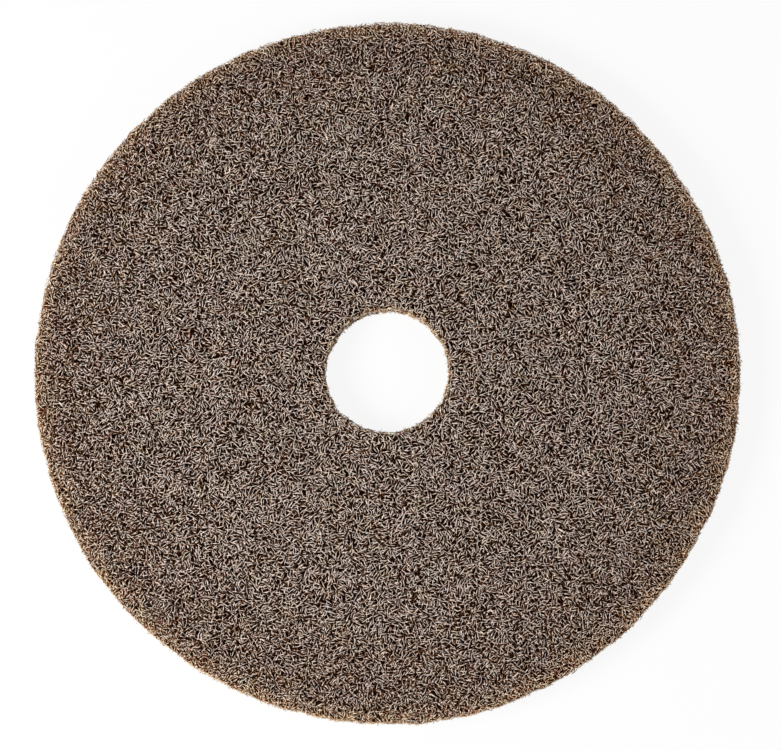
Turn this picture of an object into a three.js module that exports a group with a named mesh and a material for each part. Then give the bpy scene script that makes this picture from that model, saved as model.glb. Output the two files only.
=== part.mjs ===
// A round nonwoven floor pad: one disc of crimped fibres bonded with resin and grit,
// die-cut from a lofty sheet, with a hole punched through its middle.
// Millimetres, +Z up. The pad lies flat: its lower face is at Z = 0 and its axis is the Z axis.

import * as THREE from "three";

// Driving dimensions
const PAD_DIAMETER = 482.6; // 19 in across the lips of the rim
const HOLE_DIAMETER = 82.6; // 3 1/4 in across the lips of the hole
const PAD_THICKNESS = 25.4; // 1 in of web between the two flat faces

// The cut edges, alike on the rim and on the hole
const ENTRY_ROLL = 4.0; // radius of the edge that the die pressed down as it went in
const EXIT_ROLL = 2.0; // radius of the edge where the die came out
const ENTRY_FALL = 1.5; // how far the upper face would have sunk at a sharp corner over the cut
const FALL_WIDTH = 22.0; // width of the band beside the cut in which the upper face sinks
const WALL_HOLLOW = 0.8; // depth of the waist in the cut wall, where the web sprang back

// Fineness of the faceted surface
const TURN_STEPS = 96; // round the axis
const CURVE_STEPS = 4; // along each curve of the section

// The section of one cut edge, from the flat of the lower face up to the flat of the upper one.
// outward is +1 on the rim and -1 on the hole, where the web lies outside the cut.
function cutEdge(lipRadius, outward) {
  const inWeb = (depth) => lipRadius - outward * depth;
  const corner = PAD_THICKNESS - ENTRY_FALL;
  const slope = ENTRY_FALL / (FALL_WIDTH / 2);
  const wallTop = corner - ENTRY_ROLL;
  const waist = (EXIT_ROLL + wallTop) / 2;

  const edge = new THREE.Path();
  edge.moveTo(inWeb(EXIT_ROLL), 0);
  edge.quadraticCurveTo(lipRadius, 0, lipRadius, EXIT_ROLL);
  // A quadratic curve goes half as deep as its control point lies.
  edge.quadraticCurveTo(inWeb(2 * WALL_HOLLOW), waist, lipRadius, wallTop);
  edge.quadraticCurveTo(lipRadius, corner, inWeb(ENTRY_ROLL), corner + slope * ENTRY_ROLL);
  edge.quadraticCurveTo(inWeb(FALL_WIDTH / 2), PAD_THICKNESS, inWeb(FALL_WIDTH), PAD_THICKNESS);
  return edge.getPoints(CURVE_STEPS);
}

// The closed section of the disc: up the rim, in along the upper face, and down the hole.
// The last point meets the first, and the lower face lies between the two edges.
function padSection() {
  const rim = cutEdge(PAD_DIAMETER / 2, 1);
  const hole = cutEdge(HOLE_DIAMETER / 2, -1).reverse();
  return [...rim, ...hole, rim[0].clone()];
}

const fibreWeb = new THREE.MeshStandardMaterial({
  color: "#6e5d52",
  roughness: 0.95,
  metalness: 0,
});

// LatheGeometry turns its section about Y, so the disc is stood up on Z afterwards.
const disc = new THREE.LatheGeometry(padSection(), TURN_STEPS);
disc.rotateX(Math.PI / 2);

const padDisc = new THREE.Mesh(disc, fibreWeb);
padDisc.name = "pad_disc";

const floorPad = new THREE.Group();
floorPad.name = "floor_pad";
floorPad.add(padDisc);

export default floorPad;
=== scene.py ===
"""A round nonwoven floor pad: crimped fibres bonded into a thick disc, with a hole punched in its middle."""

import math

import bpy
import numpy as np
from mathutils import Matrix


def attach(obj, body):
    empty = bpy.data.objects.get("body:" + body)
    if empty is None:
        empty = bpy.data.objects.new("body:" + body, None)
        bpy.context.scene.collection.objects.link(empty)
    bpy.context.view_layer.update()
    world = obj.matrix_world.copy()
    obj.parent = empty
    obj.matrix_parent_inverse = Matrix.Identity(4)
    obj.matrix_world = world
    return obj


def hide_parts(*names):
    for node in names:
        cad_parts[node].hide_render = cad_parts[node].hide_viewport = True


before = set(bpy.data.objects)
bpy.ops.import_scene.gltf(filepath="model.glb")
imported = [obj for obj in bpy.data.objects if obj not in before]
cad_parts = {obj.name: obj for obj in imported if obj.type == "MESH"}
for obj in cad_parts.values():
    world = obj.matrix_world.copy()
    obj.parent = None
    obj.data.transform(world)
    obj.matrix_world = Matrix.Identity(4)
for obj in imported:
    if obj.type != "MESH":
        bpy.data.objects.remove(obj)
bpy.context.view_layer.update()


# The body of the web
# Below its loose surface the pad is a close mat of fibres, shut with brown resin and grit.
# It is cut from a wide sheet by one stroke of a die, which makes the rim and the hole together.

MM = 0.001
SKIN_DEPTH = 2.4 * MM  # the loose fibres that lie over the body
BODY_GRAIN = 4.4 * MM  # size of the body's faces
BODY_LUMPS = 1.6 * MM  # height of its lumps
LUMP_SIZE = 6.0 * MM
MIDDLE_SAG = 1.4 * MM  # how far its underside sags under the pad's own weight
FOOT_SAG = 3.2 * MM  # the same along the cuts, where it comes down to the floor
FOOT_BAND = (4.0 * MM, 8.0 * MM)  # distances from a cut between which the one turns into the other
SAG_HEIGHT = 8.0 * MM  # nothing sags above this height
FOOT_GAP = 0.15 * MM  # what the body keeps from the floor

# the mat's near-black is partly brown resin and partly painted shade of the deep web; the black in the pits
# is painted shade
RESIN_PIT_SHADE = (0.004, 0.0008, 0.0001, 1)
RESIN_BROWN = (0.016, 0.005, 0.0015, 1)
RESIN_TAN = (0.060, 0.028, 0.013, 1)
RESIN_COOL = (0.43, 0.47, 0.53, 1)  # the two ends of the drift in colour, where 0.5 changes nothing
RESIN_WARM = (0.58, 0.51, 0.43, 1)
RESIN_PATCH = 12 * MM  # size of the patches of the drift
RESIN_MOTTLE = 0.11  # share of small mottles in it
RESIN_ROUGH = (0.95, 0.70)  # in the pits and on the strands
NOISE_RANGE = (0.3, 0.7)  # nearly all of a noise lies between these

STRAND_NET = 600.0  # meshes to a metre of the net of half-buried strands
STRAND_BENDS = 160.0  # bends to a metre
STRAND_BEND = 6 * MM
STRAND_EDGE = (0.16, 0.02)  # where a strand begins and where it is full, from the ridge of the net
STRAND_RELIEF = 0.8 * MM


def pick(piece):
    """Makes one object the only selected one and the active one."""
    bpy.ops.object.select_all(action="DESELECT")
    piece.select_set(True)
    bpy.context.view_layer.objects.active = piece


def tint_group():
    """The slow drift in colour from place to place, where the sheet took up more or less resin."""
    group = bpy.data.node_groups.new("resin_drift", "ShaderNodeTree")
    group.interface.new_socket("Color", in_out="INPUT", socket_type="NodeSocketColor")
    group.interface.new_socket("Patch Size", in_out="INPUT", socket_type="NodeSocketFloat")
    group.interface.new_socket("Color", in_out="OUTPUT", socket_type="NodeSocketColor")
    nodes = group.nodes
    links = group.links
    inlet = nodes.new("NodeGroupInput")
    outlet = nodes.new("NodeGroupOutput")
    place = nodes.new("ShaderNodeTexCoord")
    drift = nodes.new("ShaderNodeTexNoise")
    drift.inputs["Detail"].default_value = 2.0
    links.new(place.outputs["Object"], drift.inputs["Vector"])
    scale = nodes.new("ShaderNodeMath")
    scale.operation = "DIVIDE"
    scale.inputs[0].default_value = 1.0
    links.new(inlet.outputs["Patch Size"], scale.inputs[1])
    links.new(scale.outputs[0], drift.inputs["Scale"])
    warmth = nodes.new("ShaderNodeValToRGB")
    warmth.color_ramp.elements[0].position = NOISE_RANGE[0]
    warmth.color_ramp.elements[0].color = RESIN_COOL
    warmth.color_ramp.elements[1].position = NOISE_RANGE[1]
    warmth.color_ramp.elements[1].color = RESIN_WARM
    links.new(drift.outputs["Fac"], warmth.inputs["Fac"])
    mottled = nodes.new("ShaderNodeMix")
    mottled.data_type = "RGBA"
    mottled.blend_type = "LINEAR_LIGHT"
    mottled.inputs["Factor"].default_value = RESIN_MOTTLE
    links.new(warmth.outputs["Color"], mottled.inputs["A"])
    links.new(drift.outputs["Color"], mottled.inputs["B"])
    toned = nodes.new("ShaderNodeMix")
    toned.data_type = "RGBA"
    toned.blend_type = "SOFT_LIGHT"
    toned.inputs["Factor"].default_value = 1.0
    links.new(inlet.outputs["Color"], toned.inputs["A"])
    links.new(mottled.outputs["Result"], toned.inputs["B"])
    links.new(toned.outputs["Result"], outlet.inputs["Color"])
    return group


resin_drift = tint_group()


def body_material():
    """Resin-dark mat: a net of half-buried fibres over black pits. Its dark tones are partly resin and
    partly painted shade of the deep web, and the black of the pits is painted shade.
    """
    material = bpy.data.materials.new("resin_mat")
    material.use_nodes = True
    nodes = material.node_tree.nodes
    links = material.node_tree.links
    shader = nodes["Principled BSDF"]
    shader.inputs["Specular IOR Level"].default_value = 0.02

    place = nodes.new("ShaderNodeTexCoord")
    bend = nodes.new("ShaderNodeTexNoise")
    bend.inputs["Scale"].default_value = STRAND_BENDS
    bend.inputs["Detail"].default_value = 1.0
    links.new(place.outputs["Object"], bend.inputs["Vector"])
    bent = nodes.new("ShaderNodeVectorMath")
    bent.operation = "MULTIPLY_ADD"
    bent.inputs[1].default_value = (STRAND_BEND, STRAND_BEND, STRAND_BEND)
    links.new(bend.outputs["Color"], bent.inputs[0])
    links.new(place.outputs["Object"], bent.inputs[2])

    net = nodes.new("ShaderNodeTexVoronoi")
    net.feature = "DISTANCE_TO_EDGE"
    net.inputs["Scale"].default_value = STRAND_NET
    links.new(bent.outputs[0], net.inputs["Vector"])
    strands = nodes.new("ShaderNodeMapRange")
    strands.inputs["From Min"].default_value = STRAND_EDGE[0]
    strands.inputs["From Max"].default_value = STRAND_EDGE[1]
    links.new(net.outputs["Distance"], strands.inputs["Value"])

    tones = nodes.new("ShaderNodeValToRGB")
    tones.color_ramp.elements[0].color = RESIN_PIT_SHADE
    tones.color_ramp.elements[1].color = RESIN_TAN
    middle = tones.color_ramp.elements.new(0.5)
    middle.color = RESIN_BROWN
    links.new(strands.outputs["Result"], tones.inputs["Fac"])
    drift = nodes.new("ShaderNodeGroup")
    drift.node_tree = resin_drift
    drift.inputs["Patch Size"].default_value = RESIN_PATCH
    links.new(tones.outputs["Color"], drift.inputs["Color"])
    links.new(drift.outputs["Color"], shader.inputs["Base Color"])

    rough = nodes.new("ShaderNodeMapRange")
    rough.inputs["To Min"].default_value = RESIN_ROUGH[0]
    rough.inputs["To Max"].default_value = RESIN_ROUGH[1]
    links.new(strands.outputs["Result"], rough.inputs["Value"])
    links.new(rough.outputs["Result"], shader.inputs["Roughness"])

    relief = nodes.new("ShaderNodeBump")
    relief.inputs["Strength"].default_value = 1.0
    relief.inputs["Distance"].default_value = STRAND_RELIEF
    links.new(strands.outputs["Result"], relief.inputs["Height"])
    links.new(relief.outputs["Normal"], shader.inputs["Normal"])
    return material


pad_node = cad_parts["pad_disc"]
pad_corners = np.array([corner.co for corner in pad_node.data.vertices])
pad_reach = np.hypot(pad_corners[:, 0], pad_corners[:, 1])
section = np.unique(np.c_[pad_reach, pad_corners[:, 2]].round(6), axis=0)  # distance from the axis, height
pad_top = section[:, 1].max()
rim_lip = section[:, 0].max()
hole_lip = section[:, 0].min()

web_core = bpy.data.objects.new("web_core", pad_node.data.copy())
bpy.context.collection.objects.link(web_core)
pick(web_core)
bpy.ops.object.mode_set(mode="EDIT")
bpy.ops.mesh.select_all(action="SELECT")
bpy.ops.mesh.remove_doubles(threshold=1e-5)
bpy.ops.object.mode_set(mode="OBJECT")
web_core.data.materials.clear()
web_core.data.materials.append(body_material())

even = web_core.modifiers.new("even_faces", "REMESH")
even.mode = "VOXEL"
even.voxel_size = BODY_GRAIN
bpy.ops.object.modifier_apply(modifier="even_faces")
mat_lumps = bpy.data.textures.new("mat_lumps", "CLOUDS")
mat_lumps.noise_scale = LUMP_SIZE
mat_lumps.noise_depth = 2
uneven = web_core.modifiers.new("lumps", "DISPLACE")
uneven.texture = mat_lumps
uneven.texture_coords = "LOCAL"
uneven.strength = BODY_LUMPS
uneven.mid_level = 0.5 + SKIN_DEPTH / BODY_LUMPS
bpy.ops.object.modifier_apply(modifier="lumps")
for corner in web_core.data.vertices:
    reach = math.hypot(corner.co.x, corner.co.y)
    from_cut = min(rim_lip - reach, reach - hole_lip)
    most_sag = np.interp(from_cut, FOOT_BAND, (FOOT_SAG, MIDDLE_SAG))
    sag = most_sag * max(0.0, 1 - corner.co.z / SAG_HEIGHT)
    corner.co.z = max(FOOT_GAP, corner.co.z - sag)
bpy.ops.object.shade_smooth()

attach(web_core, "root")
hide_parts("pad_disc")


# The fibres of the upper face
# Stiff crimped fibres lie over each other in every direction, bonded where they cross.
# Those on top are scuffed pale, and the deeper ones are brown with resin. Their darkening with depth is also
# painted shade of the web above them.

FIBRE_RADIUS = 0.158 * MM
FIBRE_HALF = (1.6 * MM, 4.4 * MM)  # from the middle of a fibre's stretch to where it dives
FIBRE_BEND = 0.08  # how much it bends at its middle, in radians
FIBRE_DIVE = (0.3 * MM, 0.8 * MM)  # how much deeper its ends lie than its middle
# the deepest fibres' near-black is partly resin and partly painted shade of the web above them
FIBRE_DARK = (0.011, 0.0015, 0.0002, 1)
FIBRE_BROWN = (0.150, 0.048, 0.011, 1)
FIBRE_BEIGE = (0.525, 0.332, 0.220, 1)
FIBRE_PALE = (1.000, 0.858, 0.762, 1)
EDGE_LIGHT_TINT = (1.22, 1.05, 0.86, 1)  # painted light: what the colours are multiplied by along the rim and the hole, for light from the white floor and backdrop falling on and through the thin edge fibres
FIBRE_TONES = (0.45, 0.64, 0.76, 0.96)  # paleness at which a fibre is dark, brown, beige and pale
GRIT_GRAINS = 900.0  # to a metre
GRIT_SPECKS = (-0.15, 0.55)  # what the grit adds to a fibre's paleness
GRIT_ROUGH = (0.75, 0.45)
GRIT_RELIEF = 0.2 * MM

chance = np.random.default_rng(19)

on_rim = section[:, 0] > (rim_lip + hole_lip) / 2
rim_edge = section[on_rim][np.argsort(section[on_rim][:, 1])]
hole_edge = section[~on_rim][np.argsort(section[~on_rim][:, 1])]
rim_lips = np.flatnonzero(rim_edge[:, 0] > rim_lip - 1e-6)
hole_lips = np.flatnonzero(hole_edge[:, 0] < hole_lip + 1e-6)
upper_skin = np.concatenate([hole_edge[hole_lips.max():], rim_edge[rim_lips.max():][::-1]])
lower_skin = np.concatenate([hole_edge[:hole_lips.min() + 1][::-1], rim_edge[:rim_lips.min() + 1]])


def crimped_paths(headings):
    """Stretches of crimped fibre between two dives: start, middle and end of each, round a middle of 0."""
    half = chance.uniform(*FIBRE_HALF, (len(headings), 2))
    bend = chance.normal(0, FIBRE_BEND, len(headings))
    back = half[:, :1] * np.stack([np.cos(headings - bend), np.sin(headings - bend)], axis=1)
    ahead = half[:, 1:] * np.stack([np.cos(headings + bend), np.sin(headings + bend)], axis=1)
    return np.stack([-back, np.zeros_like(back), ahead], axis=1)


def surfacing(count, shallow, deep):
    """How deep the start, middle and end of each fibre lie as it comes up to the face and dives again."""
    level = chance.uniform(shallow, deep, count)
    dive = chance.uniform(*FIBRE_DIVE, (2, count))
    return np.stack([level + dive[0], level, level + dive[1]], axis=1)


RIM_WAVES = (  # number of waves round the cut, their height in millimetres, and where they start
    (2, 0.30, 1.3),
    (5, 0.28, 1.9),
    (11, 0.22, 4.0),
    (29, 0.24, 0.7),
    (47, 0.22, 2.2),
    (83, 0.22, 5.1),
)
HOLE_WAVES = (
    (2, 0.26, 3.0),
    (3, 0.24, 0.4),
    (7, 0.20, 2.6),
    (13, 0.22, 5.2),
    (19, 0.20, 1.1),
    (31, 0.22, 2.9),
)
RIM_LOSS = 0.3 * MM  # what the web draws back from the cut all round the rim
RAGGED = 0.9 * MM  # how far a fibre may end inside or outside a cut
RAGGED_SPREAD = 0.45 * MM


def wander(turn, waves):
    """How far a cut outline strays from a true circle, as the web springs back after the stroke."""
    return sum(height * MM * np.sin(number * turn + phase) for number, height, phase in waves)


def cut_off(fibres, ragged):
    """Ends the fibres at the rim and at the hole, and drops those whose middle lies past them."""
    reach = np.hypot(fibres[:, :, 0], fibres[:, :, 1])
    turn = np.arctan2(fibres[:, :, 1], fibres[:, :, 0])
    outer = rim_lip - RIM_LOSS + wander(turn, RIM_WAVES) - ragged
    inner = hole_lip - wander(turn, HOLE_WAVES) + ragged
    middle = reach[:, 1:2]
    past_rim = (reach - outer) / np.where(reach > outer, reach - middle, np.inf)
    past_hole = (inner - reach) / np.where(reach < inner, middle - reach, np.inf)
    past = np.maximum(past_rim, past_hole).clip(0, 0.9)[:, :, None]
    kept = (reach[:, 1] < outer[:, 1]) & (reach[:, 1] > inner[:, 1])
    return (fibres + past * (fibres[:, 1:2] - fibres))[kept]


WEB_CELL = 0.5 * MM  # the grid on which the web's thickness is counted
WEB_MARGIN = 25 * MM  # by which the grid is wider than the pad
WEB_CHOICES = 16  # places that are tried for each fibre
WEB_SPOTS = (0.0, 0.5)  # where a fibre is counted, on the way from its middle to either end
WEB_FOOTPRINT = 2.4  # how far round each of these spots, in cells
web_side = round(2 * (rim_lip + WEB_MARGIN) / WEB_CELL)
reach_2 = (np.arange(web_side) * WEB_CELL - rim_lip - WEB_MARGIN) ** 2
web_reach = np.sqrt(reach_2[:, None] + reach_2).ravel()
past_cut = (web_reach > rim_lip) | (web_reach < hole_lip)
near = range(-2, 3)
web_footprint = [x * web_side + y for x in near for y in near if math.hypot(x, y) < WEB_FOOTPRINT]


def lay_evenly(choices, web):
    """Picks one of each row of fibres, in turn: the one that lies where the web is thinnest so far."""
    part = np.array(WEB_SPOTS)[:, None]
    spots = np.concatenate([
        choices[:, :, 1:2] + part * (choices[:, :, :1] - choices[:, :, 1:2]),
        choices[:, :, 1:2] + part[1:] * (choices[:, :, 2:] - choices[:, :, 1:2]),
    ], axis=2)
    cell = ((spots + rim_lip + WEB_MARGIN) / WEB_CELL).astype(int).clip(2, web_side - 3)
    cell = cell[..., 0] * web_side + cell[..., 1]
    picked = np.empty(len(choices), dtype=int)
    for row, tries in enumerate(cell):
        picked[row] = web[tries].mean(axis=1).argmin()
        web[np.add.outer(tries[picked[row]], web_footprint)] += 1
    return choices[np.arange(len(choices)), picked]


def places_on_face(count):
    """Places anywhere on the ring between the hole and the rim."""
    reach = np.sqrt(chance.uniform(hole_lip ** 2, rim_lip ** 2, count))
    turn = chance.uniform(0, math.tau, count)
    return np.stack([reach * np.cos(turn), reach * np.sin(turn)], axis=1)


def face_fibres(count, shallow, deep, web):
    """Fibres lying in a face, cut off at the rim and at the hole: x, y and depth under the skin."""
    tries = count * WEB_CHOICES
    paths = crimped_paths(chance.uniform(0, math.tau, tries)) + places_on_face(tries)[:, None]
    paths = lay_evenly(paths.reshape(count, WEB_CHOICES, 3, 2), web)
    depth = surfacing(count, shallow, deep)
    ragged = (RAGGED - chance.exponential(RAGGED_SPREAD, (count, 1))).clip(-RAGGED, None)
    return cut_off(np.concatenate([paths, depth[:, :, None]], axis=2), ragged)


def fibre_material():
    """Resin-coated fibre: brown where it lies deep, pale where it is scuffed, with a gritty coat. The
    darkening with depth is partly painted shade, and the rim and the hole carry painted light.
    """
    material = bpy.data.materials.new("resin_fibre")
    material.use_nodes = True
    nodes = material.node_tree.nodes
    links = material.node_tree.links
    shader = nodes["Principled BSDF"]
    shader.inputs["Specular IOR Level"].default_value = 0.04

    paleness = nodes.new("ShaderNodeAttribute")
    paleness.attribute_name = "paleness"
    place = nodes.new("ShaderNodeTexCoord")
    grit = nodes.new("ShaderNodeTexNoise")
    grit.inputs["Scale"].default_value = GRIT_GRAINS
    grit.inputs["Detail"].default_value = 2.0
    links.new(place.outputs["Object"], grit.inputs["Vector"])
    specks = nodes.new("ShaderNodeMapRange")
    specks.inputs["From Min"].default_value = NOISE_RANGE[0]
    specks.inputs["From Max"].default_value = NOISE_RANGE[1]
    specks.inputs["To Min"].default_value = GRIT_SPECKS[0]
    specks.inputs["To Max"].default_value = GRIT_SPECKS[1]
    links.new(grit.outputs["Fac"], specks.inputs["Value"])
    worn = nodes.new("ShaderNodeMath")
    links.new(specks.outputs["Result"], worn.inputs[0])
    links.new(paleness.outputs["Fac"], worn.inputs[1])
    tones = nodes.new("ShaderNodeValToRGB")
    dark, brown, beige, pale = FIBRE_TONES
    tones.color_ramp.elements[0].position = dark
    tones.color_ramp.elements[0].color = FIBRE_DARK
    tones.color_ramp.elements[1].position = pale
    tones.color_ramp.elements[1].color = FIBRE_PALE
    tones.color_ramp.elements.new(brown).color = FIBRE_BROWN
    tones.color_ramp.elements.new(beige).color = FIBRE_BEIGE
    links.new(worn.outputs[0], tones.inputs["Fac"])
    # painted light along the rim and the hole: paler and warmer there, for light from the white floor and
    # backdrop
    edge_light = nodes.new("ShaderNodeAttribute")
    edge_light.attribute_name = "edge_light"
    tan = nodes.new("ShaderNodeMix")
    tan.data_type = "RGBA"
    tan.blend_type = "MULTIPLY"
    tan.clamp_result = True
    tan.inputs["B"].default_value = EDGE_LIGHT_TINT
    links.new(edge_light.outputs["Fac"], tan.inputs["Factor"])
    links.new(tones.outputs["Color"], tan.inputs["A"])
    drift = nodes.new("ShaderNodeGroup")
    drift.node_tree = resin_drift
    drift.inputs["Patch Size"].default_value = RESIN_PATCH
    links.new(tan.outputs["Result"], drift.inputs["Color"])
    links.new(drift.outputs["Color"], shader.inputs["Base Color"])

    rough = nodes.new("ShaderNodeMapRange")
    rough.inputs["To Min"].default_value = GRIT_ROUGH[0]
    rough.inputs["To Max"].default_value = GRIT_ROUGH[1]
    links.new(grit.outputs["Fac"], rough.inputs["Value"])
    links.new(rough.outputs["Result"], shader.inputs["Roughness"])
    coat = nodes.new("ShaderNodeBump")
    coat.inputs["Strength"].default_value = 0.4
    coat.inputs["Distance"].default_value = GRIT_RELIEF
    links.new(grit.outputs["Fac"], coat.inputs["Height"])
    links.new(coat.outputs["Normal"], shader.inputs["Normal"])
    return material


resin_fibre = fibre_material()


FIBRE_RINGS = [0, 0, 1, 1, 2, 2]  # the two sides of a fibre's start, middle and end
FIBRE_SIDES = np.array([-0.7, 0.7, -1, 1, -0.7, 0.7])
FIBRE_TOP = [(1, 3, 2), (1, 2, 0), (3, 5, 4), (3, 4, 2)]
FIBRE_UNDERSIDE = [(0, 2, 4), (1, 5, 3), (0, 4, 1), (1, 4, 5)]
PATCH_MARGIN = 0.1  # left free round each fibre on the flat map


def lay_out_patches(mesh, count):
    """A flat map on which each fibre has a patch of its own, with its top beside its underside."""
    top = np.array([(0, 0.4), (0, 0), (0.5, 0.4), (0.5, 0), (1, 0.4), (1, 0)])
    underside = np.array([(0, 0.85), (0, 0.65), (0.5, 1), (0.5, 0.5), (1, 0.85), (1, 0.65)])
    patch = np.concatenate([top[np.array(FIBRE_TOP)], underside[np.array(FIBRE_UNDERSIDE)]])
    columns = math.ceil(math.sqrt(count))
    fibre = np.arange(count)
    corner = np.stack([fibre % columns, fibre // columns], axis=1)[:, None, None]
    spread = (corner + PATCH_MARGIN + (1 - 2 * PATCH_MARGIN) * patch) / columns
    patches = mesh.uv_layers.new(name="OFBake")
    patches.uv.foreach_set("vector", spread.astype(np.float32).ravel())


def draw_fibres(name, fibres, facing, paleness, edge_light, radius=FIBRE_RADIUS):
    """One mesh of closed fibres, each a low arch over a flat underside. facing is where their tops look."""
    count = len(fibres)
    along = fibres[:, 2] - fibres[:, 0]
    along /= np.linalg.norm(along, axis=1, keepdims=True)
    across = np.cross(along, facing)
    across /= np.linalg.norm(across, axis=1, keepdims=True)
    corners = fibres[:, FIBRE_RINGS] + radius * FIBRE_SIDES[:, None] * across[:, None]
    faces = len(FIBRE_RINGS) * np.arange(count)[:, None, None] + np.array(FIBRE_TOP + FIBRE_UNDERSIDE)

    mesh = bpy.data.meshes.new(name)
    mesh.from_pydata(corners.reshape(-1, 3), [], faces.reshape(-1, 3))
    for label, values in (("paleness", paleness), ("edge_light", edge_light)):
        layer = mesh.attributes.new(label, "FLOAT", "POINT")
        layer.data.foreach_set("value", values[:, FIBRE_RINGS].astype(np.float32).ravel())
    lay_out_patches(mesh, count)
    mesh.materials.append(resin_fibre)
    piece = bpy.data.objects.new(name, mesh)
    bpy.context.collection.objects.link(piece)
    pick(piece)
    bpy.ops.object.shade_smooth()
    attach(piece, "root")
    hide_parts("pad_disc")


SCUFF_AND_SHADE_MOST = 1.10  # paleness of a fibre at the top depth below, all gone about the fade depth deeper; this fall is partly scuffing and resin and partly painted shade of the web above
SCUFF_AND_SHADE_TOP = 0.3 * MM
SCUFF_AND_SHADE_FADE = 0.85 * MM
OWN_PALENESS = 0.10  # how much the fibres differ by themselves
OWN_EDGE_LIGHT = 0.15
SHADE_WIDTH = 90 * MM  # the outer band over which the fibres' paleness is pulled towards SHADE_TONE, so that the face grows darker and more even towards the rim
SHADE_TONE = 0.48  # the paleness that it tends to, and how strongly
SHADE_PULL = 0.42
EDGE_LIGHT_TONE = 0.72  # the same for the painted light along the rim and the hole
EDGE_LIGHT_PULL = 0.5
RIM_LIGHT_BAND = 14 * MM  # width of the band of painted light along the rim
HOLE_LIGHT_BAND = 5 * MM  # the same round the hole


def paleness_of(depth, shade, edge_light):
    """Pale on top and dark below, partly from scuffing and resin and partly as painted shade of the web
    above, and a little of each fibre's own. Towards the edges all is more alike, and the last argument adds
    painted light along the rim and the hole.
    """
    own = chance.normal(0, OWN_PALENESS, (len(depth), 1))
    # painted shade: the deeper a fibre lies, the darker it is, on top of its scuffing and resin
    scuff_and_depth_shade = (SCUFF_AND_SHADE_MOST - (depth - SCUFF_AND_SHADE_TOP) / SCUFF_AND_SHADE_FADE + own).clip(0, 1)
    shaded = scuff_and_depth_shade + SHADE_PULL * shade * (SHADE_TONE - scuff_and_depth_shade)
    return shaded + EDGE_LIGHT_PULL * edge_light * (EDGE_LIGHT_TONE - shaded)


def edge_shade(fibres):
    """0 on the middle of a face, rising to 1 at the rim."""
    reach = np.hypot(fibres[:, :, 0], fibres[:, :, 1])
    rise = (1 - (rim_lip - reach) / SHADE_WIDTH).clip(0, 1)
    return rise * rise * (3 - 2 * rise)


def painted_edge_light(fibres):
    """Painted light: 1 along the rim and the hole, falling to 0 over the bands, and a little of each fibre's
    own.
    """
    reach = np.hypot(fibres[:, :, 0], fibres[:, :, 1])
    nearest = np.minimum((rim_lip - reach) / RIM_LIGHT_BAND, (reach - hole_lip) / HOLE_LIGHT_BAND)
    own = chance.normal(0, OWN_EDGE_LIGHT, (len(fibres), 1))
    return (1 - nearest + own).clip(0, 1)


def under_skin(fibres, skin, side):
    """The fibres' points in space, under a face's skin. side is 1 on the upper face."""
    reach = np.hypot(fibres[:, :, 0], fibres[:, :, 1])
    height = np.interp(reach, skin[:, 0], skin[:, 1]) - side * fibres[:, :, 2]
    return np.concatenate([fibres[:, :, :2], height[:, :, None]], axis=2)


THIN_SPACING = (7 * MM, 16 * MM)
THIN_WAVES = 30


def thin_places():
    """Where the web is loose and lets one look deeper into it: soft spots, all over the grid."""
    across = np.arange(web_side) * WEB_CELL
    spots = np.zeros((web_side, web_side))
    for length in chance.uniform(*THIN_SPACING, THIN_WAVES):
        turn = chance.uniform(0, math.tau)
        phase = chance.uniform(0, math.tau)
        run = across[:, None] * math.cos(turn) + across * math.sin(turn)
        spots += np.cos(math.tau * run / length + phase)
    return spots.ravel() / math.sqrt(THIN_WAVES / 2)


THINNESS = 0.07  # at what count of fibres these places start, so that fewer are laid there
UPPER_LAYERS = (  # name, number of fibres, and the depths between which they lie
    ("upper_web_1", 21000, 1.2 * MM, 1.6 * MM),
    ("upper_web_2", 21000, 0.85 * MM, 1.2 * MM),
    ("upper_web_3", 24000, 0.4 * MM, 0.7 * MM),
    ("upper_web_4", 24000, 0.25 * MM, 0.45 * MM),
)
upper_start = np.where(past_cut, 1.0, 0.0)
upper_start += THINNESS * thin_places()
for layer, fibre_count, layer_top, layer_bottom in UPPER_LAYERS:
    layer_fibres = face_fibres(fibre_count, layer_top, layer_bottom, upper_start.copy())
    # each fibre's painted light along the rim and the hole
    layer_light = painted_edge_light(layer_fibres)
    layer_tone = paleness_of(layer_fibres[:, :, 2], edge_shade(layer_fibres), layer_light)
    draw_fibres(layer, under_skin(layer_fibres, upper_skin, 1), (0, 0, 1), layer_tone, layer_light)


# The fibres of the lower face
# The sheet is alike on both sides, so that the pad can be turned over when one side is worn.
# This face lies on the floor, and has one layer of stouter fibres.

LOWER_FIBRES = 16000
LOWER_RADIUS = 0.25 * MM
LOWER_DEPTHS = (0.05 * MM, 0.7 * MM)

lower_start = np.where(past_cut, 0.5, 0.0)
lower_fibres = face_fibres(LOWER_FIBRES, *LOWER_DEPTHS, lower_start)
# each fibre's painted light along the rim and the hole
lower_light = painted_edge_light(lower_fibres)
lower_tone = paleness_of(lower_fibres[:, :, 2], edge_shade(lower_fibres), lower_light)
lower_paths = under_skin(lower_fibres, lower_skin, -1)
draw_fibres("lower_web", lower_paths, (0, 0, -1), lower_tone, lower_light, LOWER_RADIUS)


# The fibres of the cut walls
# The die leaves an upright wall on the rim and in the hole. Fibres that lay along the cut show
# as short strokes in it, and those that lay across it end there.

WALL_LEAN = 0.6  # how far the strokes lean out of their layer, in radians
WALL_TOP = pad_top - 5.0 * MM  # where the rolled edge begins
WALL_SPILL = 1.0 * MM  # how far strokes run past the wall
WALL_DEPTHS = (0.3 * MM, 1.4 * MM)
WALL_LIGHT_LIFT = 0.1 * MM  # painted light: the walls are made as pale as a face is this much nearer its top, for the less light that reaches them
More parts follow.
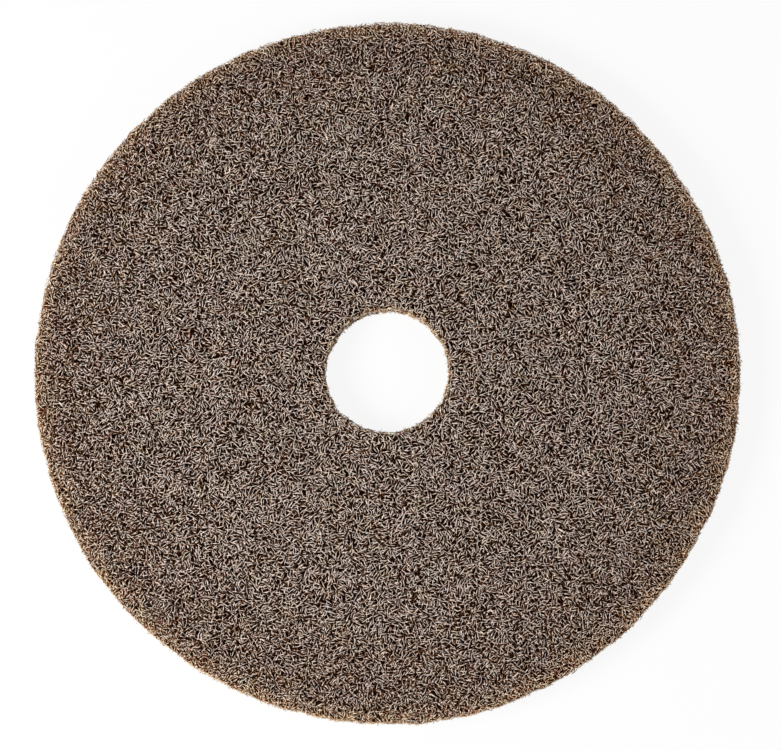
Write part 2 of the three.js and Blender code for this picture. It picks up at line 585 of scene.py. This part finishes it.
# painted light in the wall fibres' tone, as along the rim
WALL_EDGE_LIGHT = 0.4
END_BAND = (0.5 * MM, WALL_TOP + 2 * MM)  # heights between which fibres end in the wall
END_INSIDE = np.array([1.0, 0.08, 0.0])  # how far inside an end's start, middle and tip lie, in its length
END_LENGTH = 2.5 * MM
END_ARCH = 0.25 * MM  # by which its middle is lifted
END_RISE = 1.0 * MM  # how much it slants up or down
END_TURN = 1.5 * MM  # and to the side
END_SUNK = 0.3 * MM  # the tips lie this deep at most
END_PROUD = 0.35 * MM  # and come up from there by this much, as a rule
END_PROUDEST = 1.2 * MM
RIM_STROKES = 7600
RIM_ENDS = 3600
HOLE_STROKES = 1200
HOLE_ENDS = 700


def wall_point(turn, height, depth, edge, outward):
    """Points under the skin of a cut wall, whose section is the given edge."""
    strays = wander(turn, RIM_WAVES) - RIM_LOSS if outward > 0 else wander(turn, HOLE_WAVES)
    reach = np.interp(height, edge[:, 1], edge[:, 0]) + outward * (strays - depth)
    return np.stack([reach * np.cos(turn), reach * np.sin(turn), height], axis=2)


def wall_strokes(count, edge, outward):
    """Fibres that lay along the cut and come to its surface for a short way, and their depths."""
    paths = crimped_paths(chance.normal(0, WALL_LEAN, count))
    height = paths[:, :, 1] + chance.uniform(-WALL_SPILL, WALL_TOP, (count, 1))
    height = height.clip(FIBRE_RADIUS, WALL_TOP + WALL_SPILL)
    lip = rim_lip if outward > 0 else hole_lip
    turn = paths[:, :, 0] / lip + chance.uniform(0, math.tau, (count, 1))
    depth = surfacing(count, *WALL_DEPTHS)
    return wall_point(turn, height, depth, edge, outward), depth


def wall_ends(count, edge, outward):
    """The cut ends of fibres that lay across the cut, and their depths."""
    lip = rim_lip if outward > 0 else hole_lip
    height = chance.uniform(*END_BAND, (count, 1))
    height = height + END_INSIDE * chance.normal(0, END_RISE, (count, 1))
    height = height.clip(FIBRE_RADIUS, None) + np.array([0.0, END_ARCH, 0.0])
    turn = chance.uniform(0, math.tau, (count, 1))
    turn = turn + END_INSIDE * chance.normal(0, END_TURN, (count, 1)) / lip
    proud = (chance.exponential(END_PROUD, (count, 1)) - END_SUNK).clip(None, END_PROUDEST)
    depth = END_INSIDE * END_LENGTH - proud
    return wall_point(turn, height, depth, edge, outward), depth


for wall, wall_edge, wall_side, strokes, ends in (
    ("rim", rim_edge, 1, RIM_STROKES, RIM_ENDS),
    ("hole", hole_edge, -1, HOLE_STROKES, HOLE_ENDS),
):
    stroke_paths, stroke_depth = wall_strokes(strokes, wall_edge, wall_side)
    # the wall fibres get painted light: a lifted paleness and the full edge tint
    stroke_tone = paleness_of(stroke_depth - WALL_LIGHT_LIFT, 1.0, WALL_EDGE_LIGHT)
    stroke_facing = wall_side * stroke_paths[:, 1] * (1, 1, 0)
    draw_fibres(wall + "_strokes", stroke_paths, stroke_facing, stroke_tone, np.ones_like(stroke_depth))
    end_paths, end_depth = wall_ends(ends, wall_edge, wall_side)
    end_tone = paleness_of(end_depth - WALL_LIGHT_LIFT, 1.0, WALL_EDGE_LIGHT)
    draw_fibres(wall + "_ends", end_paths, (0, 0, 1), end_tone, np.ones_like(end_depth))


# The floor
# A plain white sheet under the pad, which keeps its soft shadow. The camera and mirrors see most of it
# as plain white, and far from the pad all of it.

FLOOR_SIZE = 12.0
FLOOR_WHITE = (0.95, 0.95, 0.95, 1)
FLOOR_ROUGH = 0.9
FLOOR_GLOW = 0.90  # share of the floor's picture that is plain white, near the pad
GLOW_REACH = (0.30, 1.3)  # between these distances the share grows to all of it

bpy.ops.mesh.primitive_plane_add(size=FLOOR_SIZE)
floor = bpy.context.object
floor.name = "floor"
floor_sheet = bpy.data.materials.new("floor_sheet")
floor_sheet.use_nodes = True
floor_nodes = floor_sheet.node_tree.nodes
floor_links = floor_sheet.node_tree.links
floor_shader = floor_nodes["Principled BSDF"]
floor_shader.inputs["Base Color"].default_value = FLOOR_WHITE
floor_shader.inputs["Roughness"].default_value = FLOOR_ROUGH
glow = floor_nodes.new("ShaderNodeEmission")
glow.inputs["Color"].default_value = (1, 1, 1, 1)
rays = floor_nodes.new("ShaderNodeLightPath")
mirrored = floor_nodes.new("ShaderNodeMath")
mirrored.operation = "MAXIMUM"
floor_links.new(rays.outputs["Is Glossy Ray"], mirrored.inputs[0])
floor_links.new(rays.outputs["Is Transmission Ray"], mirrored.inputs[1])
looked = floor_nodes.new("ShaderNodeMath")
looked.operation = "MAXIMUM"
floor_links.new(rays.outputs["Is Camera Ray"], looked.inputs[0])
floor_links.new(mirrored.outputs[0], looked.inputs[1])
spot = floor_nodes.new("ShaderNodeTexCoord")
away = floor_nodes.new("ShaderNodeVectorMath")
away.operation = "LENGTH"
floor_links.new(spot.outputs["Object"], away.inputs[0])
share = floor_nodes.new("ShaderNodeMapRange")
share.interpolation_type = "SMOOTHSTEP"
share.inputs["From Min"].default_value = GLOW_REACH[0]
share.inputs["From Max"].default_value = GLOW_REACH[1]
share.inputs["To Min"].default_value = FLOOR_GLOW
floor_links.new(away.outputs["Value"], share.inputs["Value"])
seen = floor_nodes.new("ShaderNodeMath")
seen.operation = "MULTIPLY"
floor_links.new(looked.outputs[0], seen.inputs[0])
floor_links.new(share.outputs["Result"], seen.inputs[1])
blend = floor_nodes.new("ShaderNodeMixShader")
floor_links.new(seen.outputs[0], blend.inputs["Fac"])
floor_links.new(floor_shader.outputs["BSDF"], blend.inputs[1])
floor_links.new(glow.outputs["Emission"], blend.inputs[2])
floor_links.new(blend.outputs["Shader"], floor_nodes["Material Output"].inputs["Surface"])
floor.data.materials.append(floor_sheet)


# The light
# Two large soft lamps to the left and right of the pad, of which the left one is the main light.
# The room is even and dim, but the camera and mirrors see it white.

ROOM_LIGHT = 0.17
LAMPS = (  # name, place, size and power
    ("left_lamp", (-1.3, -0.5, 1.3), 0.9, 39.5),
    ("right_lamp", (1.4, -0.4, 1.1), 0.9, 6.0),
)

room = bpy.data.worlds.new("room")
bpy.context.scene.world = room
room.use_nodes = True
room_nodes = room.node_tree.nodes
room_links = room.node_tree.links
room_light = room_nodes["Background"]
room_light.inputs["Color"].default_value = (1, 1, 1, 1)
room_light.inputs["Strength"].default_value = ROOM_LIGHT
backdrop = room_nodes.new("ShaderNodeBackground")
backdrop.inputs["Color"].default_value = (1, 1, 1, 1)
backdrop.inputs["Strength"].default_value = 1.0
room_rays = room_nodes.new("ShaderNodeLightPath")
room_mirrored = room_nodes.new("ShaderNodeMath")
room_mirrored.operation = "MAXIMUM"
room_links.new(room_rays.outputs["Is Glossy Ray"], room_mirrored.inputs[0])
room_links.new(room_rays.outputs["Is Transmission Ray"], room_mirrored.inputs[1])
room_looked = room_nodes.new("ShaderNodeMath")
room_looked.operation = "MAXIMUM"
room_links.new(room_rays.outputs["Is Camera Ray"], room_looked.inputs[0])
room_links.new(room_mirrored.outputs[0], room_looked.inputs[1])
room_mix = room_nodes.new("ShaderNodeMixShader")
room_links.new(room_looked.outputs[0], room_mix.inputs["Fac"])
room_links.new(room_light.outputs["Background"], room_mix.inputs[1])
room_links.new(backdrop.outputs["Background"], room_mix.inputs[2])
room_links.new(room_mix.outputs["Shader"], room_nodes["World Output"].inputs["Surface"])

for lamp_name, lamp_place, lamp_size, lamp_power in LAMPS:
    lamp_data = bpy.data.lights.new(lamp_name, "AREA")
    lamp_data.size = lamp_size
    lamp_data.energy = lamp_power
    lamp = bpy.data.objects.new(lamp_name, lamp_data)
    bpy.context.collection.objects.link(lamp)
    lamp.location = lamp_place
    aim = -lamp.location
    lamp.rotation_euler = aim.to_track_quat("-Z", "Y").to_euler()


# The camera
# Nearly straight above the pad, a little towards the lower edge of the picture.
# A long lens far away, so that the wall hardly shows.

FRAME_WIDTH_PX = 781
PAD_RADIUS_PX = 354.3
PAD_OFFSET_PX = (-3.3, 4.7)  # the pad's centre right of and above the picture's
CAMERA_TILT = math.radians(6.0)
CAMERA_LENS = 250.0

camera_data = bpy.data.cameras.new("camera")
camera_data.lens = CAMERA_LENS
camera = bpy.data.objects.new("camera", camera_data)
bpy.context.collection.objects.link(camera)
bpy.context.scene.camera = camera
pixel = rim_lip / PAD_RADIUS_PX
distance = pixel * FRAME_WIDTH_PX * CAMERA_LENS / camera_data.sensor_width
camera.location = (
    -PAD_OFFSET_PX[0] * pixel,
    -PAD_OFFSET_PX[1] * pixel - distance * math.sin(CAMERA_TILT),
    pad_top + distance * math.cos(CAMERA_TILT),
)
camera.rotation_euler = (CAMERA_TILT, 0, 0)

bpy.context.scene.view_settings.view_transform = "Standard"
